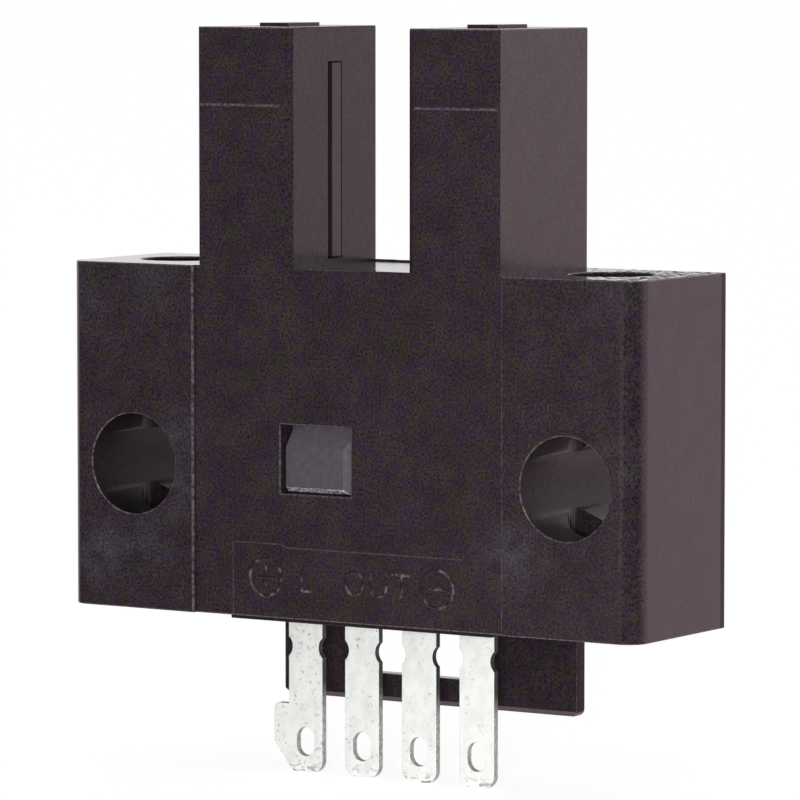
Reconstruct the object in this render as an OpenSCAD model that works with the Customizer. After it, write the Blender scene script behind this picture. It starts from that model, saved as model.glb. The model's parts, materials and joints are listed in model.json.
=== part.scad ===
// Slotted optical switch
// A moulded T-shaped case has a sensing slot between two pillars and a drilled ear on each side.
// A smoked light guide shows the state in front, and four solder terminals leave the underside
// in front of a skirt that locks a connector. Emitter and detector look at each other across the slot.
// Millimetres. +X is to the right seen from the front, +Y runs from the front to the mounting face,
// +Z is up. The origin lies on the mounting face, midway between the two face screw holes.

/* [Ears] */
// Distance between the screw holes of the two ears
screw_pitch = 19; // [18:0.1:21]
// Distance from a screw hole's axis to the ear's outer end
ear_end = 3; // [2.6:0.1:4]
// Height of the ears above the underside, level with the slot floor
ear_height = 13.1; // [12.5:0.1:16]
// How far the ears stand out in front of the body
ear_step = 0.17; // [0.1:0.01:0.4]
// Radius of the ears' outer front edges
ear_corner_r = 0.8; // [0.2:0.1:1.2]
// Diameter of the screw holes from front to back
face_hole_d = 3.8; // [3.2:0.1:4.2]
// Height of the front to back holes above the underside
face_hole_height = 5.5; // [5:0.1:6.5]
// Diameter of the screw holes from top to bottom
edge_hole_d = 3.2; // [2.6:0.1:3.6]

/* [Body] */
// Depth from the front of the body to the mounting face
case_depth = 6.3; // [6:0.1:8]
// Thickness of the front wall
front_wall = 0.85; // [0.6:0.05:1]
// Thickness of the rear wall
rear_wall = 0.9; // [0.7:0.05:1]
// Thickness of the floor under the sensing slot
slot_floor = 0.9; // [0.6:0.05:1.2]
// Distance from a pillar's outer side to the ear's front step
pillar_foot = 0.15; // [0.05:0.01:0.4]
// Radius of the moulded upright edges
edge_r = 0.09; // [0.04:0.01:0.1]

/* [Slot and pillars] */
// Width of the sensing slot
slot_width = 5.1; // [4.5:0.1:6]
// Chamfer on the pillars' slot edges
slot_chamfer = 0.33; // [0.1:0.01:0.5]
// Thickness of the pillar walls that face the slot
slot_wall = 0.8; // [0.6:0.05:1.1]
// Thickness of the pillars' outer walls
pillar_wall = 0.81; // [0.6:0.01:1.1]
// Thickness of the pillars' roofs
pillar_roof = 0.9; // [0.6:0.05:1.2]
// Height of the optical axis above the slot floor
axis_height = 6.02; // [5:0.02:8]
// Length of the raised axis mark on each pillar's front
mark_length = 3.58; // [3:0.02:3.6]
// How far the axis mark stands out
mark_rise = 0.05; // [0.03:0.01:0.1]
// Width of the raised pad on each pillar's top
pad_width = 1.3; // [0.8:0.1:2]
// Depth of the raised pad on each pillar's top
pad_depth = 2.1; // [1:0.1:3]
// Height of the raised pad on each pillar's top
pad_height = 0.13; // [0.05:0.01:0.3]

/* [Light slits] */
// Width of the slits in the pillar walls
slit_width = 0.96; // [0.8:0.02:1.4]
// Height of a slit's lower end above the slot floor
slit_sill = 0.23; // [0.1:0.01:0.6]
// Height of a slit's upper end above the optical axis
slit_head = 1.6; // [1:0.05:1.6]
// Width of the window rib that stands in a slit
rib_width = 0.62; // [0.4:0.02:0.7]
// Gap between the rib and the slit's rear side, and at its ends
rib_gap = 0.06; // [0.02:0.01:0.08]
// Thickness of the window's flange inside the pillar
window_flange = 0.3; // [0.2:0.05:0.5]

/* [Emitter and detector] */
// Depth of the side-looking packages, along the optical axis
package_depth = 1.4; // [1.1:0.05:1.8]
// Width of the side-looking packages, from front to back
package_width = 2.6; // [2.4:0.1:3.4]
// Height of the side-looking packages
package_height = 3.2; // [2.4:0.1:4]
// Radius of the lens on each package
lens_r = 0.6; // [0.4:0.05:0.8]
// Gap between a lens and its window
lens_gap = 0.1; // [0.05:0.01:0.3]
// Gap between a package and the pillar's outer wall, and its roof gap
package_gap = 0.05; // [0.02:0.01:0.2]
// Room above a package, under the pillar's roof
package_headroom = 0.4; // [0.35:0.05:0.8]
// Width of a package lead
lead_width = 0.4; // [0.3:0.02:0.5]
// Thickness of a package lead
lead_thickness = 0.25; // [0.15:0.01:0.3]
// Distance between the leads of a pair on one face of the board
lead_pitch = 0.8; // [0.6:0.05:0.9]
// Length of lead soldered to the board
lead_lap = 2; // [1:0.1:3]

/* [Indicator] */
// Width of the opening in the front wall
indicator_width = 3.12; // [2.6:0.02:3.6]
// Height of the opening in the front wall
indicator_height = 2.58; // [2:0.02:2.8]
// Distance of the opening's centre from the middle, to the left
indicator_left = 1.38; // [0.8:0.02:2]
// Height of the opening's centre above the underside
indicator_up = 5.98; // [5.6:0.02:7]
// Gap between the light guide and its opening
guide_gap = 0.05; // [0.02:0.01:0.1]
// How far the light guide's front stands back in the opening
guide_recess = 0.28; // [0.1:0.02:0.5]
// Height of the light guide's sloping upper facet
facet_height = 0.78; // [0.4:0.02:1.2]
// Depth of the light guide's sloping upper facet
facet_depth = 0.64; // [0.3:0.02:0.8]
// Bevel along the light guide's right side
guide_side_bevel = 0.46; // [0.2:0.02:0.6]
// Bevel along the light guide's lower edge
guide_foot_bevel = 0.18; // [0.05:0.01:0.25]
// Width of the light guide's flange behind the wall
guide_flange = 0.35; // [0.2:0.05:0.6]
// Thickness of the light guide's flange
guide_flange_t = 0.35; // [0.2:0.05:0.5]
// Width of the light guide's stem
stem_width = 1.8; // [1.2:0.1:2.4]
// Height of the light guide's stem
stem_height = 1.2; // [0.8:0.1:1.8]
// Gap between the stem and the indicator chip
stem_gap = 0.05; // [0.02:0.01:0.2]

/* [Base and skirt] */
// Height of the terminal base above the underside
base_height = 2.4; // [1.8:0.1:3]
// How far the terminal base stands out below the underside
base_drop = 0.25; // [0.1:0.01:0.5]
// Gap between the terminal base and the case, and round the terminals
base_gap = 0.03; // [0.01:0.01:0.06]
// Width of the skirt
skirt_width = 13.08; // [11:0.02:13.3]
// How far the skirt hangs below the underside
skirt_drop = 3.7; // [3:0.1:4.5]
// Thickness of the skirt
skirt_thickness = 0.6; // [0.4:0.05:0.8]
// Radius of the skirt's lower corners
skirt_corner_r = 0.28; // [0.1:0.02:0.6]
// Bevel along the skirt's lower front edge
skirt_bevel = 0.2; // [0.05:0.01:0.3]
// Width of the locking window in the skirt
lock_width = 5.2; // [4:0.1:6.4]
// Height of the locking window in the skirt
lock_height = 1.9; // [1.4:0.05:2.2]
// Distance from the underside to the locking window
lock_top = 0.72; // [0.5:0.02:0.9]

/* [Terminals] */
// Distance between neighbouring terminals
terminal_pitch = 2.54; // [2.4:0.01:2.7]
// Width of a terminal
terminal_width = 1.52; // [1.2:0.02:1.7]
// Thickness of a terminal
terminal_thickness = 0.3; // [0.2:0.02:0.4]
// How far the terminals reach below the underside
terminal_drop = 6.23; // [5:0.01:8]
// Length of terminal soldered to the board
terminal_lap = 2; // [1:0.1:3]
// Radius of the terminals' lower corners
tip_corner_r = 0.48; // [0.1:0.02:0.6]
// Height of the coined bevels at a terminal's tip
tip_bevel_height = 0.2; // [0.1:0.01:0.3]
// Depth of the coined bevel on each face of a terminal's tip
tip_bevel_depth = 0.07; // [0.03:0.01:0.09]
// Width of the eyelet in a terminal
eyelet_width = 0.8; // [0.5:0.02:1]
// Height of the eyelet in a terminal
eyelet_height = 1.1; // [1.02:0.02:1.4]
// Height of the eyelet's centre above the terminal's tip
eyelet_up = 1.17; // [1:0.01:1.4]
// Radius of the notches in a terminal's sides
notch_r = 0.5; // [0.3:0.02:0.7]
// Depth of the notches in a terminal's sides
notch_depth = 0.17; // [0.05:0.01:0.25]
// Distance from the underside to the notches' centres
notch_down = 1.45; // [1:0.05:2]
// How far the flag stands out from its terminal
flag_width = 0.67; // [0.4:0.01:0.8]
// Height of the flag's top above the terminal's tip
flag_height = 2.59; // [2:0.01:3.2]
// Radius of the flag's upper corner
flag_corner_r = 0.25; // [0.1:0.01:0.4]
// Width of the slanted cut at the flag's foot
flag_cut_width = 0.85; // [0.4:0.01:1]
// Height of the slanted cut at the flag's foot
flag_cut_height = 1.11; // [0.6:0.01:1.4]

/* [Circuit board] */
// Thickness of the circuit board
board_thickness = 0.6; // [0.4:0.1:0.8]
// Gap between the board's sides and the case
board_side_gap = 0.1; // [0.05:0.01:0.3]
// Gap between the board's upper edge and the slot floor
board_head_gap = 0.2; // [0.1:0.05:0.5]
// Length of a resistor or capacitor chip
chip_length = 1.6; // [1:0.1:2]
// Width of a resistor or capacitor chip
chip_width = 0.8; // [0.5:0.1:1]
// Height of a resistor chip
resistor_height = 0.45; // [0.3:0.05:0.6]
// Height of the capacitor chip
capacitor_height = 0.8; // [0.5:0.05:1]
// Number of resistor chips
resistor_count = 4; // [3:1:5]
// Distance between neighbouring resistor chips
resistor_pitch = 1.3; // [1.2:0.05:1.6]
// Height of the indicator chip
indicator_chip_height = 0.6; // [0.4:0.05:0.8]
// Length of the output transistor's body
transistor_length = 2.9; // [2:0.1:3.2]
// Width of the output transistor's body
transistor_width = 1.3; // [1:0.1:1.6]
// Height of the output transistor and of the diode above the board
outline_height = 1; // [0.7:0.05:1.1]
// Length of the protection diode's body
diode_length = 1.7; // [1.2:0.1:2.2]
// Width of the protection diode's body
diode_width = 1.25; // [0.8:0.05:1.4]
// Thickness of the transistor's and the diode's legs
leg_thickness = 0.12; // [0.08:0.01:0.2]
// Width of the transistor's and the diode's legs
leg_width = 0.4; // [0.3:0.02:0.5]
// How far the transistor's and the diode's legs reach from the body
leg_reach = 0.5; // [0.3:0.05:0.7]

/* [Hidden] */
$fn = 64;

// Overcut that keeps a cut clear of the face it starts from
slip = 0.02;
// Overlap that joins two solids of one moulding
lap = 0.4;

// Across the case, from the middle outwards
slot_half = slot_width / 2;
pocket_start = slot_half + slot_wall;
package_start = pocket_start + window_flange + lens_gap + lens_r;
cavity_half = package_start + package_depth + package_gap;
pillar_out = cavity_half + pillar_wall;
body_half = pillar_out + pillar_foot;
screw_x = screw_pitch / 2;
ear_out = screw_x + ear_end;
skirt_half = skirt_width / 2;

// From front to back, with the front of the body at 0
mid_y = case_depth / 2;
cavity_depth = case_depth - front_wall - rear_wall;
board_front = mid_y + terminal_thickness / 2;
board_back = board_front + board_thickness;
rib_rear = mid_y + slit_width / 2 - rib_gap;
skirt_front = case_depth - skirt_thickness;

// Upwards, with the underside at 0
axis_z = ear_height + axis_height;
package_foot = axis_z - package_height / 2;
pocket_top = axis_z + package_height / 2 + package_headroom;
case_height = pocket_top + pillar_roof;
slit_foot = ear_height + slit_sill;
slit_top = axis_z + slit_head;
cavity_top = ear_height - slot_floor;
board_top = cavity_top - board_head_gap;
lead_foot = board_top - lead_lap;
indicator_foot = indicator_up - indicator_height / 2;
indicator_top = indicator_up + indicator_height / 2;
tail_top = base_height + terminal_lap;

// Rows of parts on the board, above the light guide
front_row_z = (indicator_top + guide_flange + board_top) / 2;
back_row_z = (base_height + board_top) / 2;
back_step = transistor_width / 2 + leg_reach + lap;

// Puts a piece drawn from the case's underside and front into the mounting frame
module in_case() translate([0, -case_depth, -face_hole_height]) children();

// Draws a piece for the right-hand side and its mirror image
module both_sides() {
    children();
    mirror([1, 0, 0]) children();
}

// What a rounded corner takes away, with the material towards +x and +y
module corner_cut(r) {
    difference() {
        translate([-slip, -slip]) square(r + slip);
        translate([r, r]) circle(r);
    }
}

// What a chamfered corner takes away, with the material towards +x and +y
module chamfer_cut(width, height) {
    over_w = slip * width / height;
    over_h = slip * height / width;
    polygon([[-slip, -slip], [width + over_w, -slip], [-slip, height + over_h]]);
}

// Extrudes an upright outline, drawn across and up, from front to back
module slab(y, thickness) translate([0, y + thickness, 0]) rotate([90, 0, 0]) linear_extrude(thickness) children();

// Extrudes an outline, drawn backwards and up, across the part
module bar(x, length) translate([x, 0, 0]) rotate([90, 0, 90]) linear_extrude(length) children();

module ear_plan() {
    difference() {
        translate([body_half, -ear_step]) square([ear_out - body_half, case_depth + ear_step]);
        translate([body_half, -ear_step]) corner_cut(edge_r);
        translate([ear_out, -ear_step]) mirror([1, 0]) corner_cut(ear_corner_r);
    }
}

module pillar_plan() {
    difference() {
        translate([slot_half, 0]) square([pillar_out - slot_half, case_depth]);
        translate([slot_half, 0]) chamfer_cut(slot_chamfer, slot_chamfer);
        translate([slot_half, case_depth]) mirror([0, 1]) chamfer_cut(slot_chamfer, slot_chamfer);
        translate([pillar_out, 0]) mirror([1, 0]) corner_cut(edge_r);
        translate([pillar_out, case_depth]) rotate(180) corner_cut(edge_r);
    }
}

module pillar() {
    pillar_mid = (slot_half + pillar_out) / 2;
    mark_half = mark_rise + slip;
    translate([0, 0, ear_height - lap]) linear_extrude(case_height - ear_height + lap) pillar_plan();
    translate([pillar_mid - pad_width / 2, mid_y - pad_depth / 2, case_height - lap])
        cube([pad_width, pad_depth, pad_height + lap]);
    translate([0, 0, axis_z])
        bar(pillar_mid + slot_chamfer / 2 - mark_length / 2, mark_length)
            polygon([[slip, -mark_half], [-mark_rise, 0], [slip, mark_half]]);
}

module skirt() {
    difference() {
        bar(-skirt_half, skirt_width)
            difference() {
                translate([skirt_front, -skirt_drop]) square([skirt_thickness, skirt_drop + lap]);
                translate([skirt_front, -skirt_drop]) chamfer_cut(skirt_bevel, skirt_bevel);
            }
        both_sides()
            slab(skirt_front - slip, skirt_thickness + 2 * slip)
                translate([-skirt_half, -skirt_drop]) corner_cut(skirt_corner_r);
        translate([-lock_width / 2, skirt_front - slip, -lock_top - lock_height])
            cube([lock_width, skirt_thickness + 2 * slip, lock_height]);
    }
}

module case_cavity() {
    translate([-cavity_half, front_wall, -slip])
        cube([2 * cavity_half, cavity_depth, cavity_top + slip]);
    both_sides()
        translate([pocket_start, front_wall, cavity_top - lap])
            cube([cavity_half - pocket_start, cavity_depth, pocket_top - cavity_top + lap]);
}

module case_openings() {
    both_sides() {
        translate([slot_half - slip, mid_y - slit_width / 2, slit_foot])
            cube([slot_wall + 2 * slip, slit_width, slit_top - slit_foot]);
        translate([screw_x, -ear_step - slip, face_hole_height])
            rotate([-90, 0, 0]) cylinder(d = face_hole_d, h = case_depth + ear_step + 2 * slip);
        translate([screw_x, mid_y, -slip]) cylinder(d = edge_hole_d, h = ear_height + 2 * slip);
    }
    translate([-indicator_left - indicator_width / 2, -slip, indicator_foot])
        cube([indicator_width, front_wall + 2 * slip, indicator_height]);
}

module case() {
    color([0.13, 0.11, 0.125]) in_case() difference() {
        union() {
            translate([-body_half - lap, 0, 0]) cube([2 * (body_half + lap), case_depth, ear_height]);
            both_sides() linear_extrude(ear_height) ear_plan();
            both_sides() pillar();
            skirt();
        }
        case_cavity();
        case_openings();
    }
}

module terminal_base() {
    slot_w = terminal_width + 2 * base_gap;
    slot_t = terminal_thickness + 2 * base_gap;
    color([0.1, 0.09, 0.1]) in_case() difference() {
        translate([-cavity_half + base_gap, front_wall + base_gap, -base_drop])
            cube([2 * (cavity_half - base_gap), cavity_depth - 2 * base_gap, base_drop + base_height]);
        for (place = [0:3])
            translate([terminal_x(place) - slot_w / 2, mid_y - slot_t / 2, -base_drop - slip])
                cube([slot_w, slot_t, base_drop + base_height + 2 * slip]);
    }
}

// A flange lies on the inside of the slot wall, and its rib fills the slit flush with the slot
module light_window() {
    translate([pocket_start, mid_y - package_width / 2, slit_foot])
        cube([window_flange, package_width, slit_top + rib_gap - slit_foot]);
    translate([slot_half, rib_rear - rib_width, slit_foot + rib_gap])
        cube([slot_wall + lap / 2, rib_width, slit_top - slit_foot - 2 * rib_gap]);
}

module emitter_window() color([0.16, 0.12, 0.15]) in_case() mirror([1, 0, 0]) light_window();

module receiver_window() color([0.16, 0.12, 0.15]) in_case() light_window();

module indicator_light_guide() {
    left = -indicator_left - indicator_width / 2;
    guide_left = left + guide_gap;
    guide_right = left + indicator_width - guide_gap;
    guide_foot = indicator_foot + guide_gap;
    guide_top = indicator_top - guide_gap;
    flange_back = front_wall + guide_flange_t;
    stem_end = board_front - indicator_chip_height - stem_gap;
    color([0.33, 0.32, 0.34]) in_case() {
        difference() {
            bar(guide_left, guide_right - guide_left)
                difference() {
                    translate([guide_recess, guide_foot])
                        square([flange_back - guide_recess, guide_top - guide_foot]);
                    translate([guide_recess, guide_foot]) chamfer_cut(guide_foot_bevel, guide_foot_bevel);
                    translate([guide_recess, guide_top]) mirror([0, 1]) chamfer_cut(facet_depth, facet_height);
                }
            translate([guide_right, guide_recess, guide_foot - slip])
                linear_extrude(guide_top - guide_foot + 2 * slip)
                    mirror([1, 0]) chamfer_cut(guide_side_bevel, guide_side_bevel);
        }
        translate([left - guide_flange, front_wall, indicator_foot - guide_flange])
            cube([indicator_width + 2 * guide_flange, guide_flange_t, indicator_height + 2 * guide_flange]);
        translate([-indicator_left - stem_width / 2, front_wall, indicator_up - stem_height / 2])
            cube([stem_width, stem_end - front_wall, stem_height]);
    }
}

// Places 0 to 3 run from left to right
function terminal_x(place) = (place - 1.5) * terminal_pitch;

module eyelet() {
    straight = (eyelet_height - eyelet_width) / 2;
    for (side = [-1, 1]) translate([0, side * straight]) circle(d = eyelet_width);
    square([eyelet_width, 2 * straight], center = true);
}

module terminal_outline(flagged) {
    half = terminal_width / 2;
    difference() {
        union() {
            translate([-half, -terminal_drop]) square([terminal_width, terminal_drop + tail_top]);
            if (flagged)
                difference() {
                    translate([-half - flag_width, -terminal_drop]) square([flag_width + lap, flag_height]);
                    translate([-half - flag_width, flag_height - terminal_drop])
                        mirror([0, 1]) corner_cut(flag_corner_r);
                }
        }
        translate([half, -terminal_drop]) mirror([1, 0]) corner_cut(tip_corner_r);
        if (flagged)
            translate([-half - flag_width, -terminal_drop]) chamfer_cut(flag_cut_width, flag_cut_height);
        else
            translate([-half, -terminal_drop]) corner_cut(tip_corner_r);
        for (side = [-1, 1])
            translate([side * (half + notch_r - notch_depth), -notch_down]) circle(notch_r);
        translate([0, eyelet_up - terminal_drop]) eyelet();
    }
}

// What coining takes off a terminal's tip in front and behind, so that a connector slides on
module tip_bevels() {
    reach = terminal_width / 2 + flag_width + slip;
    translate([0, mid_y, -terminal_drop])
        for (side = [0, 1])
            mirror([0, side, 0])
                bar(-reach, 2 * reach)
                    translate([-terminal_thickness / 2, 0]) chamfer_cut(tip_bevel_depth, tip_bevel_height);
}

module terminal(place, flagged = false) {
    color([0.86, 0.87, 0.85]) in_case()
        translate([terminal_x(place), 0, 0])
            difference() {
                slab(mid_y - terminal_thickness / 2, terminal_thickness) terminal_outline(flagged);
                tip_bevels();
            }
}

module terminal_plus() terminal(0, flagged = true);

module terminal_l() terminal(1);

module terminal_out() terminal(2);

module terminal_minus() terminal(3);

module circuit_board() {
    half = cavity_half - board_side_gap;
    color([0.12, 0.36, 0.2]) in_case()
        translate([-half, board_front, base_height])
            cube([2 * half, board_thickness, board_top - base_height]);
}

// A moulded block with a round lens that looks into the slot
module side_package() {
    translate([package_start, mid_y - package_width / 2, package_foot])
        cube([package_depth, package_width, package_height]);
    translate([package_start, mid_y, axis_z]) sphere(lens_r);
}

// One lead on the front face and one on the back face of the board for each place across
module package_leads(places) {
    middle = package_start + package_depth / 2;
    for (x = places, y = [board_front - lead_thickness, board_back])
        translate([middle + x - lead_width / 2, y, lead_foot])
            cube([lead_width, lead_thickness, package_foot - lead_foot]);
}

module emitter_led() color([0.3, 0.4, 0.6]) in_case() mirror([1, 0, 0]) side_package();

module emitter_leads() color([0.8, 0.8, 0.78]) in_case() mirror([1, 0, 0]) package_leads([0]);

module photo_ic() color([0.2, 0.16, 0.2]) in_case() side_package();

module photo_ic_leads() color([0.8, 0.8, 0.78]) in_case() package_leads([-lead_pitch / 2, lead_pitch / 2]);

// Stand a part on the board's front or back face, with its height along z
module on_front(x, z) translate([x, board_front, z]) rotate([90, 0, 0]) children();

module on_back(x, z) translate([x, board_back, z]) rotate([-90, 0, 0]) children();

module chip(length, width, height) translate([-length / 2, -width / 2, 0]) cube([length, width, height]);

// A bent leg: a foot on the board and a riser against the body's side
module leg(x, body_side) {
    translate([x - leg_width / 2, body_side - leg_thickness, 0])
        cube([leg_width, leg_reach + leg_thickness, leg_thickness]);
    translate([x - leg_width / 2, body_side - leg_thickness, 0])
        cube([leg_width, 2 * leg_thickness, outline_height / 2]);
}

module indicator_led() {
    lens_length = chip_length - chip_width;
    color([0.9, 0.75, 0.3]) in_case() on_front(-indicator_left, indicator_up) {
        chip(chip_length, chip_width, indicator_chip_height / 2);
        chip(lens_length, chip_width, indicator_chip_height);
    }
}

module output_transistor() {
    leg_x = transistor_length / 2 - leg_width;
    color([0.15, 0.15, 0.16]) in_case() on_back(0, back_row_z + back_step) {
        translate([0, 0, leg_thickness])
            chip(transistor_length, transistor_width, outline_height - leg_thickness);
        for (x = [-leg_x, leg_x]) leg(x, transistor_width / 2);
        mirror([0, 1, 0]) leg(0, transistor_width / 2);
    }
}

module chip_resistors() {
    color([0.1, 0.1, 0.11]) in_case()
        for (i = [0 : resistor_count - 1])
            on_front((i - (resistor_count - 1) / 2) * resistor_pitch, front_row_z)
                chip(chip_width, chip_length, resistor_height);
}

module bypass_capacitor() {
    color([0.62, 0.5, 0.38]) in_case()
        on_back(chip_length, back_row_z - back_step) chip(chip_width, chip_length, capacitor_height);
}

module protection_diode() {
    color([0.15, 0.15, 0.16]) in_case() on_back(-diode_length, back_row_z - back_step) {
        translate([0, 0, leg_thickness]) chip(diode_length, diode_width, outline_height - leg_thickness);
        for (turn = [0, 180]) rotate(turn) leg(0, diode_width / 2);
    }
}

case();
terminal_base();
emitter_window();
receiver_window();
indicator_light_guide();
terminal_plus();
terminal_l();
terminal_out();
terminal_minus();
circuit_board();
emitter_led();
emitter_leads();
photo_ic();
photo_ic_leads();
indicator_led();
output_transistor();
chip_resistors();
bypass_capacitor();
protection_diode();
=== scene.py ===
# %% [markdown]
# # A slotted optical switch, dressed for a product picture
# The solid model already has the right sizes and places. What it lacks is what the eye looks for:
# edges that are never quite sharp, black plastic that shines at a glancing angle, dull spotted tin,
# and the small raised signs above the terminals. Each step below adds one of these.

# %% Load the solids
import json
import math

import bmesh
import bpy
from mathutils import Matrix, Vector

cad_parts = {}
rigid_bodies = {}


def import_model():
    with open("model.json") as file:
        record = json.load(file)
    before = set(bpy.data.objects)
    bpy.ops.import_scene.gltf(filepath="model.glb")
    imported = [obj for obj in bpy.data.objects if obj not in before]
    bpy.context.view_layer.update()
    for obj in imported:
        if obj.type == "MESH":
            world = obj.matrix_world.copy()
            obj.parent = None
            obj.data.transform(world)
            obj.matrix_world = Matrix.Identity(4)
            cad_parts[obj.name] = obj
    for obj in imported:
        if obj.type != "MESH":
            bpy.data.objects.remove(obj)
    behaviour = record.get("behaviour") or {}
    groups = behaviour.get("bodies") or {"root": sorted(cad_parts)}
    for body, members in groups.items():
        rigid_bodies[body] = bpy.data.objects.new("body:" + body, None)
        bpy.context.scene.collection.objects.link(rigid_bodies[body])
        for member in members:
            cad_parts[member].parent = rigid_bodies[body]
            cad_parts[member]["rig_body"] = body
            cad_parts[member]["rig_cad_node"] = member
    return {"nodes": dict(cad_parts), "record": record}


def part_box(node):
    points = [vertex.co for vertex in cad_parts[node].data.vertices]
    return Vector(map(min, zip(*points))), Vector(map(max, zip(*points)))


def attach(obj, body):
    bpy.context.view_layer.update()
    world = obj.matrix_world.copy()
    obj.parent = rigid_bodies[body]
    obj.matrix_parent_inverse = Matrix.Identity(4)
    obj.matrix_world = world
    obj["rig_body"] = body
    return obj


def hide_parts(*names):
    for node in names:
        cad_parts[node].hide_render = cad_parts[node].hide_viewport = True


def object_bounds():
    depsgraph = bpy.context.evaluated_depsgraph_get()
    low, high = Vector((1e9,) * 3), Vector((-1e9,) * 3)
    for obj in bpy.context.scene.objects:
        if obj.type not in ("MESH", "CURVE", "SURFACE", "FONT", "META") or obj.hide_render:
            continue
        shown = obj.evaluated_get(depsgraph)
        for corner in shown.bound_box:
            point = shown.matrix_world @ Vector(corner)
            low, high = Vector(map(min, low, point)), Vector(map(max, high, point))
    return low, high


MM = 0.001
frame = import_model()
nodes = frame["nodes"]
cad_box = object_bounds()
print("solids:", len(nodes), "overall mm:", [round(x / MM, 2) for x in cad_box[1] - cad_box[0]])

# %% [markdown]
# ## Places that every step uses
# A few planes of the moulding come back in many steps. The mounts and boxes of the solid model give
# them, in millimetres, so that no step has to measure again. Working in millimetres keeps the numbers
# readable, and Blender's own tolerances stay far below the size of an edge.

# %% Planes of the moulding, in millimetres
def box_mm(node_name):
    """The lowest and the highest corner of a solid, in millimetres."""
    low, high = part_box(node_name)
    return low / MM, high / MM


mounts = {m["name"]: m for m in frame["record"]["mounts"]}
screw_x = mounts["face_screws"]["dims"]["spacing_x_mm"] / 2
face_hole_r = mounts["face_screws"]["dims"]["hole_r_mm"]
edge_hole_r = mounts["edge_screws"]["dims"]["hole_r_mm"]
mid_depth = mounts["edge_screws"]["pos_m"][1] / MM
ear_top = mounts["edge_screws"]["pos_m"][2] / MM
EAR_HEIGHT = 13.1
underside = ear_top - EAR_HEIGHT
body_front = 2 * mid_depth
case_low, case_high = box_mm("case")
ear_front = case_low.y
ear_end = case_high.x
guide_low, guide_high = box_mm("indicator_light_guide")
guide_x = (guide_low.x + guide_high.x) / 2
tip_level = cad_box[0].z / MM
print("ear top", ear_top, "underside", underside, "body front", body_front, "ear front", ear_front)

# %% [markdown]
# ## The camera
# The picture was taken from the right and a little above, with a long lens that keeps upright edges
# almost parallel. A camera that stands on a circle round the part is easy to check: one angle to the
# right, one angle down, a distance and a lens.

# %% Camera
CAMERA_TURN = math.radians(32.474)
CAMERA_TILT = math.radians(4.655)
CAMERA_DISTANCE = 212.03 * MM
CAMERA_LENS = 254.97
CAMERA_AIM = Vector((0.181, -2.9, 2.582)) * MM


def towards(turn, rise):
    """The direction from the part to a place, turned to the right of the front and raised."""
    level = math.cos(rise)
    return Vector((math.sin(turn) * level, -math.cos(turn) * level, math.sin(rise)))


bpy.ops.object.camera_add(
    location=CAMERA_AIM + towards(CAMERA_TURN, CAMERA_TILT) * CAMERA_DISTANCE,
    rotation=(math.pi / 2 - CAMERA_TILT, 0, CAMERA_TURN),
)
camera = bpy.context.object
camera.name = "product_camera"
camera.data.lens = CAMERA_LENS
camera.data.clip_start = 0.01
camera.data.clip_end = 20
bpy.context.scene.camera = camera
print("camera at mm:", [round(x / MM, 1) for x in camera.location])

# %% [markdown]
# ## The studio
# Black plastic is mostly seen by what it reflects. In the picture the sides and the tops, which mirror
# the white background behind the part, are pale, and the front, which mirrors the dim half of the
# studio, is almost black. So the studio here is white behind the part and dim in front of it. A faint
# glow a little to the left is there for the upright rounded edges to pick up, and a brighter strip beside
# it draws a pale line down the rounded corners of the ears. The floor close to the part is white again,
# and draws the thin bright lines under the lower edges. The signs glint at their upper right and lower
# left, so a small window is mirrored from the right and above. The tin is bright up to the underside, so
# the lamp stands low, and to the right, where it also reaches into the screw holes. The background
# itself stays plain white for the camera, and the floor keeps the shadow of the part.

# %% Helpers for node trees
def add_node(tree, kind, **values):
    """Adds a node and sets the named inputs, with _ in place of a space."""
    node = tree.nodes.new(kind)
    for name, value in values.items():
        node.inputs[name.replace("_", " ")].default_value = value
    return node


def fill(tree, socket, value):
    """Links an input to a socket, or sets it to plain numbers."""
    if isinstance(value, bpy.types.NodeSocket):
        tree.links.new(value, socket)
    else:
        socket.default_value = value


def math_node(tree, operation, first, second):
    """Adds a Math node whose inputs are sockets or plain numbers."""
    node = tree.nodes.new("ShaderNodeMath")
    node.operation = operation
    fill(tree, node.inputs[0], first)
    fill(tree, node.inputs[1], second)
    return node.outputs["Value"]


def vector_node(tree, operation, vector):
    """Adds a Vector Math node that works on one vector."""
    node = tree.nodes.new("ShaderNodeVectorMath")
    node.operation = operation
    tree.links.new(vector, node.inputs[0])
    return node


def axis_of(tree, vector, axis):
    """One coordinate of a vector."""
    parts = tree.nodes.new("ShaderNodeSeparateXYZ")
    tree.links.new(vector, parts.inputs["Vector"])
    return parts.outputs[axis]


def stretch(tree, pattern, low, high, start=0.0, end=1.0):
    """Maps a pattern that runs from start to end onto low to high."""
    node = tree.nodes.new("ShaderNodeMapRange")
    for name, value in (("From Min", start), ("From Max", end), ("To Min", low), ("To Max", high)):
        node.inputs[name].default_value = value
    tree.links.new(pattern, node.inputs["Value"])
    return node.outputs["Result"]


def mix_shaders(tree, factor, first, second):
    """Adds a Mix Shader node between two shaders."""
    node = tree.nodes.new("ShaderNodeMixShader")
    tree.links.new(factor, node.inputs["Fac"])
    tree.links.new(first, node.inputs[1])
    tree.links.new(second, node.inputs[2])
    return node.outputs["Shader"]


DIM_SIDE = 0.07
WHITE_SIDE = 1.0
DIM_FROM = -0.15
WHITE_FROM = 0.35
GLOW_TURN = math.radians(-12)
GLOW_LEVEL = 0.3
GLOW_RIM, GLOW_FULL = 26, 6
STRIP_TURN = math.radians(-5)
STRIP_LEVEL = 0.75
STRIP_RIM, STRIP_FULL = 12, 4


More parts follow.
